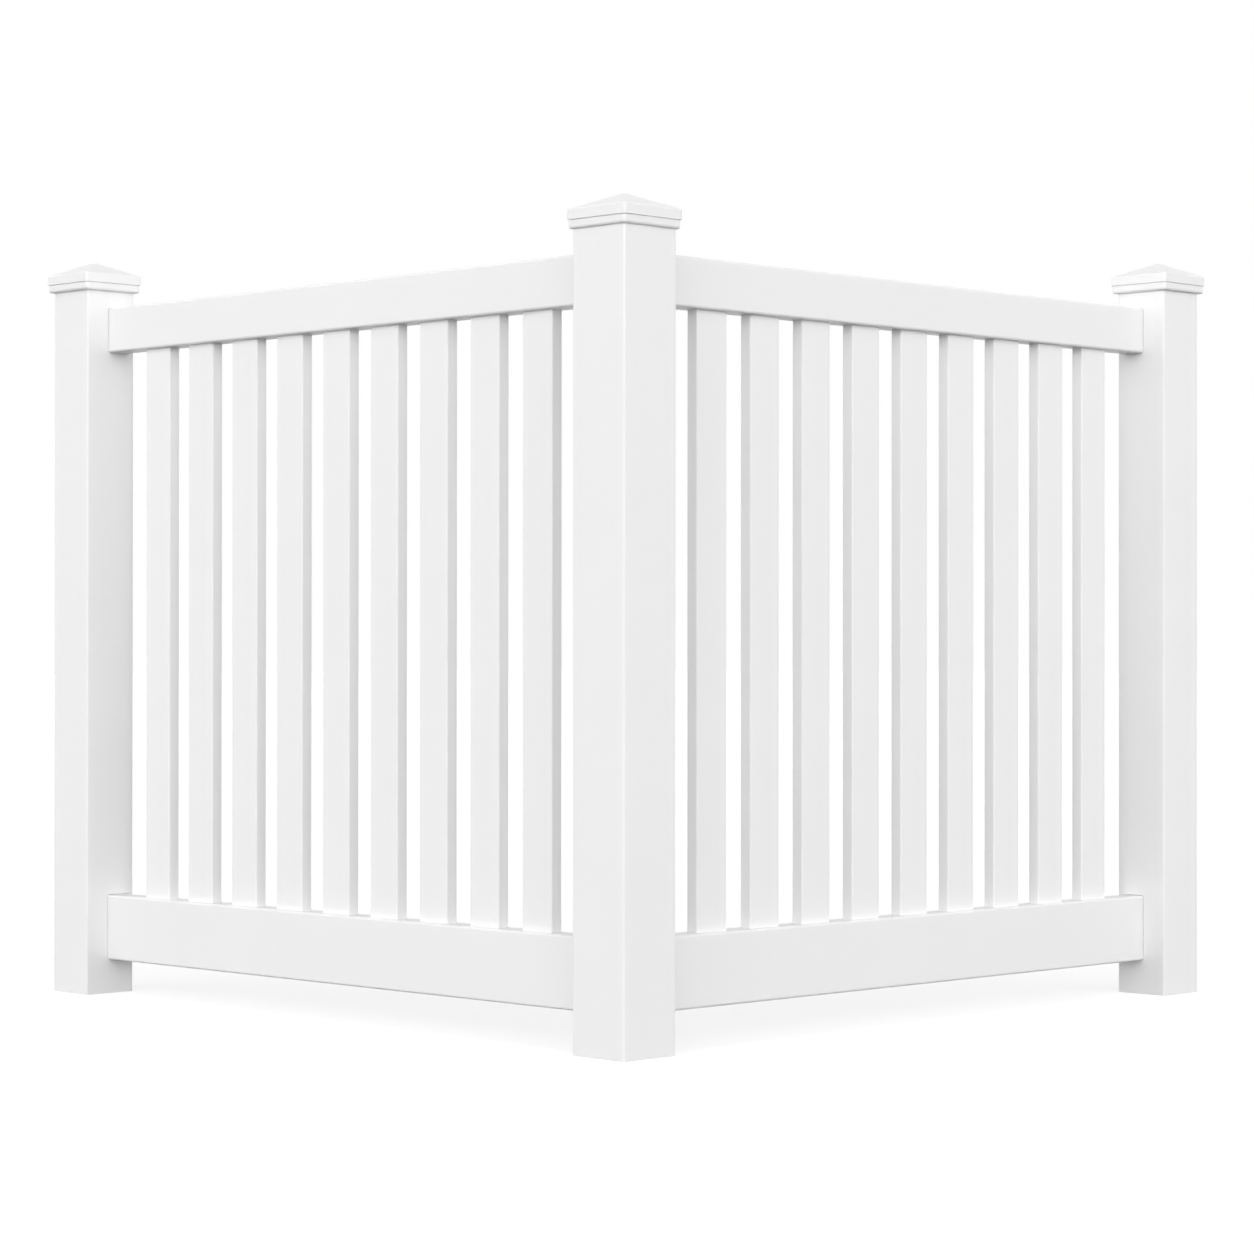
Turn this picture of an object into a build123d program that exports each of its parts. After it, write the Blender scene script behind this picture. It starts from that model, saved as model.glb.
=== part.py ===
"""White vinyl picket fence corner: three capped posts and two panels at a right angle.

The corner post stands on the origin. One panel runs along +X (the right one, seen from
outside the corner) and one along +Y (the left one). Up is +Z and the ground is Z = 0.
Every length is in millimetres.
"""

import os

from build123d import *

# Posts: hollow square extrusions
post_spacing = 1524.0
corner_post_width = 126.0
end_post_width = 114.0
post_wall = 3.8
post_corner_radius = 4.0
post_above_rail = 61.0

# Rails: hollow rectangular extrusions, set back from the posts' centre line
rail_thickness = 51.0
rail_wall = 2.5
rail_edge_radius = 5.0
bottom_rail_height = 130.0
top_rail_height = 89.0
ground_gap = 68.0
panel_set_back = 20.0
rail_insertion = 30.0
rail_slot_clearance = 0.8
mitre_gap = 3.0

# Pickets: hollow extrusions held in slots routed in the rails
picket_count = 9
picket_pitch = 137.0
picket_width = 76.0
picket_thickness = 25.0
picket_wall = 1.8
picket_corner_radius = 3.0
picket_visible_length = 1092.0
picket_slot_clearance = 0.5
picket_head_gap = 4.0
picket_row_shift = 8.0

# Caps: moulded shells with a skirt that slips over the post
corner_cap_overhang = 8.0
end_cap_overhang = 11.0
cap_skirt = 27.0
cap_lower_band = 16.0
cap_upper_band = 18.0
cap_pyramid_height = 27.0
cap_band_step = 1.8
cap_groove_height = 1.6
cap_groove_depth = 1.4
cap_wall = 2.6
cap_lip_height = 8.0
cap_lip_radius = 5.2
cap_corner_radius = 6.0
cap_shoulder_radius = 3.0
cap_tip_side = 5.0
cap_clearance = 0.4
cap_rib_thickness = 2.2
cap_rib_overlap = 2.0

# Heights that follow from the sizes above
bottom_rail_top = ground_gap + bottom_rail_height
top_rail_foot = bottom_rail_top + picket_visible_length
top_rail_top = top_rail_foot + top_rail_height
post_height = top_rail_top + post_above_rail

# The clear opening between two posts, measured along a panel
opening_start = corner_post_width / 2
opening_end = post_spacing - end_post_width / 2

# The left panel is the right panel seen in this mirror, which swaps X and Y
corner_mirror = Plane(origin=(0, 0, 0), z_dir=(1, -1, 0))


def tube_section(width, depth, wall, corner_radius):
    """A hollow rectangle whose inner corners follow the outer ones at the wall's distance."""
    inner_radius = max(corner_radius - wall, 0.3 * wall)
    outer = RectangleRounded(width, depth, corner_radius)
    inner = RectangleRounded(width - 2 * wall, depth - 2 * wall, inner_radius)
    return outer - inner


def rail_slot(wall_face_x, direction, foot, height):
    """The cutter for a rail's hole. It clears the rail's sides and top, and the rail rests on its sill.

    It passes through the one post wall whose outer face is at wall_face_x. The direction, 1 or -1,
    is the way that face looks.
    """
    slot_height = height + rail_slot_clearance
    outline = RectangleRounded(
        rail_thickness + 2 * rail_slot_clearance,
        slot_height,
        rail_edge_radius + rail_slot_clearance,
    )
    wall_middle = wall_face_x - direction * post_wall / 2
    plane = Plane(
        origin=(wall_middle, panel_set_back, foot + slot_height / 2), x_dir=(0, 1, 0), z_dir=(1, 0, 0)
    )
    return extrude(plane * outline, amount=post_wall, both=True)


def both_rail_slots(wall_face_x, direction):
    """The holes for the bottom and the top rail of a panel along X."""
    bottom = rail_slot(wall_face_x, direction, ground_gap, bottom_rail_height)
    top = rail_slot(wall_face_x, direction, top_rail_foot, top_rail_height)
    return bottom + top


def post_tube(side):
    """A plain post, open at both ends, standing on its own axis."""
    return extrude(tube_section(side, side, post_wall, post_corner_radius), amount=post_height)


def corner_post():
    """The corner post, with holes for one panel in its +X face and the other in its +Y face."""
    slots = both_rail_slots(corner_post_width / 2, 1)
    return post_tube(corner_post_width) - slots - mirror(slots, about=corner_mirror)


def right_end_post():
    """The post at the far end of the right panel, with holes in its -X face."""
    tube = Pos(post_spacing, 0, 0) * post_tube(end_post_width)
    return tube - both_rail_slots(opening_end, -1)


def picket_centres():
    """The pickets' places along the panel. The row stands a little past the opening's middle."""
    middle = (opening_start + opening_end) / 2 + picket_row_shift
    first = middle - picket_pitch * (picket_count - 1) / 2
    return [first + picket_pitch * index for index in range(picket_count)]


def picket_slots(wall_z):
    """Cutters for a row of picket slots through the rail wall that is centred on wall_z."""
    outline = RectangleRounded(
        picket_width + 2 * picket_slot_clearance,
        picket_thickness + 2 * picket_slot_clearance,
        picket_corner_radius + picket_slot_clearance,
    )
    places = [Pos(x, panel_set_back, wall_z) for x in picket_centres()]
    return [extrude(place * outline, amount=rail_wall, both=True) for place in places]


def rail(foot, height, slotted_wall_z):
    """A rail along X, slotted for the pickets and mitred where it meets its twin in the corner."""
    start = opening_start - rail_insertion
    length = opening_end + rail_insertion - start
    section = tube_section(rail_thickness, height, rail_wall, rail_edge_radius)
    plane = Plane(origin=(start, panel_set_back, foot + height / 2), x_dir=(0, 1, 0), z_dir=(1, 0, 0))
    tube = extrude(plane * section, amount=length)
    mitre = corner_mirror.offset(mitre_gap / 2)
    mitred = split(tube, bisect_by=mitre, keep=Keep.TOP)
    return mitred - picket_slots(slotted_wall_z)


def picket(centre_x):
    """A picket that stands on the bottom rail's floor and ends just under the top rail's roof."""
    foot = ground_gap + rail_wall
    head = top_rail_top - rail_wall - picket_head_gap
    section = tube_section(picket_width, picket_thickness, picket_wall, picket_corner_radius)
    return extrude(Pos(centre_x, panel_set_back, foot) * section, amount=head - foot)


def square_prism(half, corner_radius, low, high):
    """An upright square block with rounded corners, between two heights."""
    return extrude(Pos(0, 0, low) * RectangleRounded(2 * half, 2 * half, corner_radius), amount=high - low)


def pyramid(half, corner_radius, tip_half, low, high):
    """A shallow pyramid whose rounded hips narrow towards a small blunt tip."""
    base = Pos(0, 0, low) * RectangleRounded(2 * half, 2 * half, corner_radius)
    tip_radius = corner_radius * tip_half / half
    tip = Pos(0, 0, high) * RectangleRounded(2 * tip_half, 2 * tip_half, tip_radius)
    return loft([base, tip], ruled=True)


def post_cap(post_side, overhang):
    """A moulded cap: rolled lip, two bands with a groove between them, and a low pyramid roof."""
    upper_half = post_side / 2 + overhang
    lower_half = upper_half - cap_band_step
    groove_half = lower_half - cap_groove_depth
    lower_edge = post_height - cap_skirt
    groove_top = lower_edge + cap_lower_band
    groove_foot = groove_top - cap_groove_height
    shoulder = groove_top + cap_upper_band
    apex = shoulder + cap_pyramid_height
    tip_half = cap_tip_side / 2

    lower = square_prism(lower_half, cap_corner_radius, lower_edge, groove_foot)
    lower = fillet(lower.faces().sort_by(Axis.Z)[0].edges(), cap_lip_radius)
    neck = square_prism(groove_half, cap_corner_radius - cap_groove_depth, groove_foot, groove_top)
    upper = square_prism(upper_half, cap_corner_radius, groove_top, shoulder)
    upper += pyramid(upper_half, cap_corner_radius, tip_half, shoulder, apex)
    shoulder_edges = upper.edges().filter_by(
        lambda edge: abs(edge.center().Z - shoulder) < 0.01 and edge.bounding_box().size.Z < 0.01
    )
    upper = fillet(shoulder_edges, cap_shoulder_radius)
    outside = lower + neck + upper

    # The hollow keeps one wall thickness under the bands and under the sloping roof
    hollow_half = groove_half - cap_wall
    hollow_radius = cap_corner_radius - cap_wall
    slope = cap_pyramid_height / (upper_half - tip_half)
    roof_drop = cap_wall * (1 + slope**2) ** 0.5
    hollow_shoulder = shoulder + slope * (upper_half - hollow_half) - roof_drop
    hollow_apex = apex - roof_drop
    hollow = square_prism(hollow_half, hollow_radius, lower_edge + cap_lip_height, hollow_shoulder)
    hollow += pyramid(hollow_half, hollow_radius, tip_half, hollow_shoulder, hollow_apex)

    # The post passes the lip with a small clearance and stops against the ribs
    post_room_half = post_side / 2 + cap_clearance
    post_room = square_prism(
        post_room_half, post_corner_radius + cap_clearance, lower_edge - cap_skirt, post_height
    )
    rib_inner = post_side / 2 - post_wall - cap_rib_overlap
    rib_outer = upper_half - cap_wall / 2
    rib_height = apex - lower_edge
    rib_plate = Pos((rib_inner + rib_outer) / 2, 0, lower_edge + rib_height / 2) * Box(
        rib_outer - rib_inner, cap_rib_thickness, rib_height
    )
    ribs = [
        Rot(0, 0, quarter * 90) * Pos(0, side * post_side / 4, 0) * rib_plate
        for quarter in range(4)
        for side in (-1, 1)
    ]
    shell = outside - hollow
    ribbed = shell + [rib & outside for rib in ribs]
    return ribbed - post_room


def save(name, piece):
    """Write one piece to its own file, as a single solid."""
    solids = piece.solids()
    export_step(solids[0] if len(solids) == 1 else Compound(solids), f"parts/{name}.step")


def save_pair(name, right_piece):
    """Write a piece of the right panel and its mirrored twin in the left panel."""
    save(f"right_{name}", right_piece)
    save(f"left_{name}", mirror(right_piece, about=corner_mirror))


os.makedirs("parts", exist_ok=True)

save("corner_post", corner_post())
save("corner_post_cap", post_cap(corner_post_width, corner_cap_overhang))

save_pair("end_post", right_end_post())
save_pair("end_post_cap", Pos(post_spacing, 0, 0) * post_cap(end_post_width, end_cap_overhang))
save_pair("bottom_rail", rail(ground_gap, bottom_rail_height, bottom_rail_top - rail_wall / 2))
save_pair("top_rail", rail(top_rail_foot, top_rail_height, top_rail_foot + rail_wall / 2))

for number, centre in enumerate(picket_centres(), start=1):
    save_pair(f"picket_{number}", picket(centre))
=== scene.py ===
import math

import bpy
import numpy as np
from mathutils import Matrix, Vector

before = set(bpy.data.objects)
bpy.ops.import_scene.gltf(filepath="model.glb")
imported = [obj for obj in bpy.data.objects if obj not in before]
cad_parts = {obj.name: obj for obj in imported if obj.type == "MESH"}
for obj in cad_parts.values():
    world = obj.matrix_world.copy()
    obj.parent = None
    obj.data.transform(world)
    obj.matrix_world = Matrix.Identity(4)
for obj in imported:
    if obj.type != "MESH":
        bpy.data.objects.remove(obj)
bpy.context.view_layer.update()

# Posts
# Square tubes of rigid white vinyl, pushed hot through a die and cut to length.
# The die leaves faint lines along the tube, and the skin has a soft satin gloss.
vinyl_white = (0.90, 0.90, 0.90, 1.0)
vinyl_refraction = 1.53
post_roughness = 0.38
gloss_spread = 0.03
die_line_width = 0.004
die_line_length = 0.9
die_line_depth = 0.00004
die_line_detail = 3.0
haze_size = 0.22
haze_detail = 2.0
haze_darkest = 0.988
noise_dark = 0.3
noise_light = 0.7
along_x = 0
along_y = 1
along_z = 2


def even_vinyl(name, roughness):
    """A white vinyl whose shader holds the plain colour and gloss that the noises then vary."""
    material = bpy.data.materials.new(name)
    material.use_nodes = True
    nodes = material.node_tree.nodes
    links = material.node_tree.links
    shader = nodes["Principled BSDF"]
    shader.inputs["Base Color"].default_value = vinyl_white
    shader.inputs["Roughness"].default_value = roughness
    shader.inputs["IOR"].default_value = vinyl_refraction
    return material, nodes, links, shader


def skin_noise(nodes, links, cell, detail):
    """Noise on Object coordinates whose cells have the given size in metres along X, Y and Z."""
    place = nodes.new("ShaderNodeTexCoord")
    stretch = nodes.new("ShaderNodeMapping")
    stretch.inputs["Scale"].default_value = [1 / side for side in cell]
    noise = nodes.new("ShaderNodeTexNoise")
    noise.inputs["Scale"].default_value = 1.0
    noise.inputs["Detail"].default_value = detail
    links.new(place.outputs["Object"], stretch.inputs["Vector"])
    links.new(stretch.outputs["Vector"], noise.inputs["Vector"])
    return noise.outputs["Fac"]


def spread(nodes, links, noise, low, high):
    """A value that runs from low to high as the middle of a noise runs from dark to light."""
    ramp = nodes.new("ShaderNodeMapRange")
    ramp.inputs["From Min"].default_value = noise_dark
    ramp.inputs["From Max"].default_value = noise_light
    ramp.inputs["To Min"].default_value = low
    ramp.inputs["To Max"].default_value = high
    links.new(noise, ramp.inputs["Value"])
    return ramp.outputs["Result"]


def vary_gloss(nodes, links, noise, shader, roughness):
    """Makes the skin a little smoother and rougher by turns, about the given roughness."""
    gloss = spread(nodes, links, noise, roughness - gloss_spread, roughness + gloss_spread)
    links.new(gloss, shader.inputs["Roughness"])


def vary_white(nodes, links, noise, shader, darkest):
    """Multiplies the vinyl's white by a noise that runs from darkest to 1."""
    shade = nodes.new("ShaderNodeMix")
    shade.data_type = "RGBA"
    shade.blend_type = "MULTIPLY"
    shade.inputs["Factor"].default_value = 1.0
    shade.inputs["A"].default_value = vinyl_white
    grey = spread(nodes, links, noise, darkest, 1.0)
    links.new(grey, shade.inputs["B"])
    links.new(shade.outputs["Result"], shader.inputs["Base Color"])


def raise_skin(nodes, links, noise, shader, depth):
    """Turns a noise into relief of the given depth in metres."""
    bump = nodes.new("ShaderNodeBump")
    bump.inputs["Strength"].default_value = 1.0
    bump.inputs["Distance"].default_value = depth
    links.new(noise, bump.inputs["Height"])
    links.new(bump.outputs["Normal"], shader.inputs["Normal"])


def extruded_vinyl(name, roughness, axis):
    """White vinyl with die lines that run along one axis."""
    material, nodes, links, shader = even_vinyl(name, roughness)
    cell = [die_line_width] * 3
    cell[axis] = die_line_length
    lines = skin_noise(nodes, links, cell, die_line_detail)
    haze = skin_noise(nodes, links, [haze_size] * 3, haze_detail)
    vary_gloss(nodes, links, lines, shader, roughness)
    vary_white(nodes, links, haze, shader, haze_darkest)
    raise_skin(nodes, links, lines, shader, die_line_depth)
    return material


def dress(names, material):
    """Gives a material to the named CAD nodes."""
    for name in names:
        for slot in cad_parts[name].material_slots:
            slot.material = material


posts = [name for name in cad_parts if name.endswith("_post")]
dress(posts, extruded_vinyl("post_vinyl", post_roughness, along_z))

# Rails
# Rectangular vinyl tubes with rounded edges. Their ends pass through holes routed
# in the posts, and the right and left pair are mitred inside the corner post.
rail_roughness = 0.38
for panel, axis in (("right", along_x), ("left", along_y)):
    rails = [f"{panel}_bottom_rail", f"{panel}_top_rail"]
    dress(rails, extruded_vinyl(f"{panel}_rail_vinyl", rail_roughness, axis))

# Pickets
# Flat vinyl tubes with small rounded corners, cut to one length. Each passes through
# its slots in the top rail's underside and the bottom rail's top wall.
picket_roughness = 0.36
pickets = [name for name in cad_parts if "_picket_" in name]
dress(pickets, extruded_vinyl("picket_vinyl", picket_roughness, along_z))

# Post caps
# Thin caps moulded in one shot from the same white vinyl and glued over the posts' tops.
# The mould is lightly etched, so they have no die lines and a fine, even grain.
cap_roughness = 0.40
grain_size = 0.0012
grain_depth = 0.00001
grain_detail = 2.0
cap_haze_size = 0.05
cap_haze_darkest = 0.99


def moulded_vinyl(name):
    """White vinyl with a fine grain that runs the same way in every direction."""
    material, nodes, links, shader = even_vinyl(name, cap_roughness)
    grain = skin_noise(nodes, links, [grain_size] * 3, grain_detail)
    haze = skin_noise(nodes, links, [cap_haze_size] * 3, haze_detail)
    vary_gloss(nodes, links, haze, shader, cap_roughness)
    vary_white(nodes, links, haze, shader, cap_haze_darkest)
    raise_skin(nodes, links, grain, shader, grain_depth)
    return material


caps = [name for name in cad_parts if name.endswith("_cap")]
dress(caps, moulded_vinyl("moulded_cap_vinyl"))

# Floor
# A wide, pale studio floor. It sends little light up to the fence, and to the camera and in
# gloss it is almost white, yet it still darkens where the fence keeps the light off.
floor_half = 60.0
floor_bounce = (0.12, 0.12, 0.12, 1.0)
floor_seen = (0.62, 0.62, 0.62, 1.0)
floor_glow = 0.60


def worked_out(nodes, links, operation, first, second):
    """The result of one calculation on two values, each a number or what another node gives."""
    calculation = nodes.new("ShaderNodeMath")
    calculation.operation = operation
    for socket, value in zip(calculation.inputs, (first, second)):
        if isinstance(value, float):
            socket.default_value = value
        else:
            links.new(value, socket)
    return calculation.outputs["Value"]


def seen_ray(nodes, links):
    """1 for rays from the camera, a glossy face or a clear one, and 0 for the rest."""
    ray = nodes.new("ShaderNodeLightPath").outputs
    seen = worked_out(nodes, links, "MAXIMUM", ray["Is Camera Ray"], ray["Is Glossy Ray"])
    return worked_out(nodes, links, "MAXIMUM", seen, ray["Is Transmission Ray"])


floor_corners = floor_half * np.array([(-1, -1, 0), (1, -1, 0), (1, 1, 0), (-1, 1, 0)])
floor_mesh = bpy.data.meshes.new("studio_floor")
floor_mesh.from_pydata(floor_corners.tolist(), [], [(0, 1, 2, 3)])
floor = bpy.data.objects.new("studio_floor", floor_mesh)
bpy.context.scene.collection.objects.link(floor)

floor_paint = bpy.data.materials.new("studio_floor_paint")
floor_paint.use_nodes = True
paint_nodes = floor_paint.node_tree.nodes
paint_links = floor_paint.node_tree.links
paint_nodes.remove(paint_nodes["Principled BSDF"])
bounce = paint_nodes.new("ShaderNodeBsdfDiffuse")
bounce.inputs["Color"].default_value = floor_bounce
face = paint_nodes.new("ShaderNodeBsdfDiffuse")
face.inputs["Color"].default_value = floor_seen
glow = paint_nodes.new("ShaderNodeEmission")
glow.inputs["Strength"].default_value = floor_glow
bright = paint_nodes.new("ShaderNodeAddShader")
paint_links.new(face.outputs["BSDF"], bright.inputs[0])
paint_links.new(glow.outputs["Emission"], bright.inputs[1])
choose = paint_nodes.new("ShaderNodeMixShader")
paint_links.new(seen_ray(paint_nodes, paint_links), choose.inputs["Fac"])
paint_links.new(bounce.outputs["BSDF"], choose.inputs[1])
paint_links.new(bright.outputs["Shader"], choose.inputs[2])
paint_links.new(choose.outputs["Shader"], paint_nodes["Material Output"].inputs["Surface"])
floor_mesh.materials.append(floor_paint)

# Surround
# A plain white surround that is seen and mirrored as pure white. Its light on the fence is
# strongest from low down and from outside the corner, and fades to none straight overhead.
surround_white = (1.0, 1.0, 1.0, 1.0)
surround_seen = 1.0
surround_light = 2.07
light_from_left = 0.86
light_from_right = 0.71

surround = bpy.data.worlds.new("studio_surround")
surround.use_nodes = True
bpy.context.scene.world = surround
sky_nodes = surround.node_tree.nodes
sky_links = surround.node_tree.links
sky = sky_nodes["Background"]
sky.inputs["Color"].default_value = surround_white

# The light from a direction x, y, z is 1 - z times this sum: the surround's light, less x times
# the light from the left, less y times the light from the right
direction = sky_nodes.new("ShaderNodeTexCoord").outputs["Generated"]
sides = sky_nodes.new("ShaderNodeVectorMath")
sides.operation = "DOT_PRODUCT"
sides.inputs[1].default_value = (-light_from_left, -light_from_right, 0.0)
sky_links.new(direction, sides.inputs[0])
height = sky_nodes.new("ShaderNodeSeparateXYZ")
sky_links.new(direction, height.inputs["Vector"])
around = worked_out(sky_nodes, sky_links, "ADD", surround_light, sides.outputs["Value"])
fall = worked_out(sky_nodes, sky_links, "SUBTRACT", 1.0, height.outputs["Z"])
shed = worked_out(sky_nodes, sky_links, "MULTIPLY", around, fall)
strength_by_ray = sky_nodes.new("ShaderNodeMapRange")
strength_by_ray.inputs["To Max"].default_value = surround_seen
sky_links.new(shed, strength_by_ray.inputs["To Min"])
sky_links.new(seen_ray(sky_nodes, sky_links), strength_by_ray.inputs["Value"])
sky_links.new(strength_by_ray.outputs["Result"], sky.inputs["Strength"])

# Lights
# Two broad, soft, far lamps that add a little to the surround's light, each on one panel's
# front. The left one is stronger, so the left panel's faces come out slightly lighter.
lamp_softness = math.radians(60.0)
lamp_height = math.radians(11.0)
lamp_distance = 8.0
lamps = {
    "left_lamp": (0.42, math.radians(20.0)),
    "right_lamp": (0.36, math.radians(70.0)),
}
for name, (strength, heading) in lamps.items():
    lamp = bpy.data.lights.new(name, "SUN")
    lamp.energy = strength
    lamp.angle = lamp_softness
    shine = Vector((
        math.cos(heading) * math.cos(lamp_height),
        math.sin(heading) * math.cos(lamp_height),
        -math.sin(lamp_height),
    ))
    holder = bpy.data.objects.new(name, lamp)
    holder.location = -lamp_distance * shine
    holder.rotation_euler = shine.to_track_quat("-Z", "Y").to_euler()
    bpy.context.scene.collection.objects.link(holder)

# Camera
# A long lens at about half the fence's height, looking almost level along the diagonal.
# Its place, turn and lens were fitted to the photograph's edges.
photo_side = 1254
focal_pixels = 3409.0
film_width = 36.0
sight_limit = 200.0
camera_place = (-4.1092, -4.1307, 0.7054)
diagonal = math.radians(45.0)
camera_turn = 0.0018
camera_pitch = 0.0047
camera_roll = 0.0007

camera_heading = diagonal + camera_turn
ahead = Vector((
    math.cos(camera_heading) * math.cos(camera_pitch),
    math.sin(camera_heading) * math.cos(camera_pitch),
    math.sin(camera_pitch),
))
level_right = ahead.cross(Vector((0.0, 0.0, 1.0))).normalized()
level_up = level_right.cross(ahead)
right = level_right * math.cos(camera_roll) + level_up * math.sin(camera_roll)
up = level_up * math.cos(camera_roll) - level_right * math.sin(camera_roll)

lens = bpy.data.cameras.new("photo_camera")
lens.sensor_width = film_width
lens.lens = film_width * focal_pixels / photo_side
lens.clip_end = sight_limit
camera = bpy.data.objects.new("photo_camera", lens)
camera_axes = Matrix((right, up, -ahead)).transposed()
camera.matrix_world = Matrix.Translation(camera_place) @ camera_axes.to_4x4()
bpy.context.scene.collection.objects.link(camera)
bpy.context.scene.camera = camera
bpy.context.scene.view_settings.view_transform = "Standard"
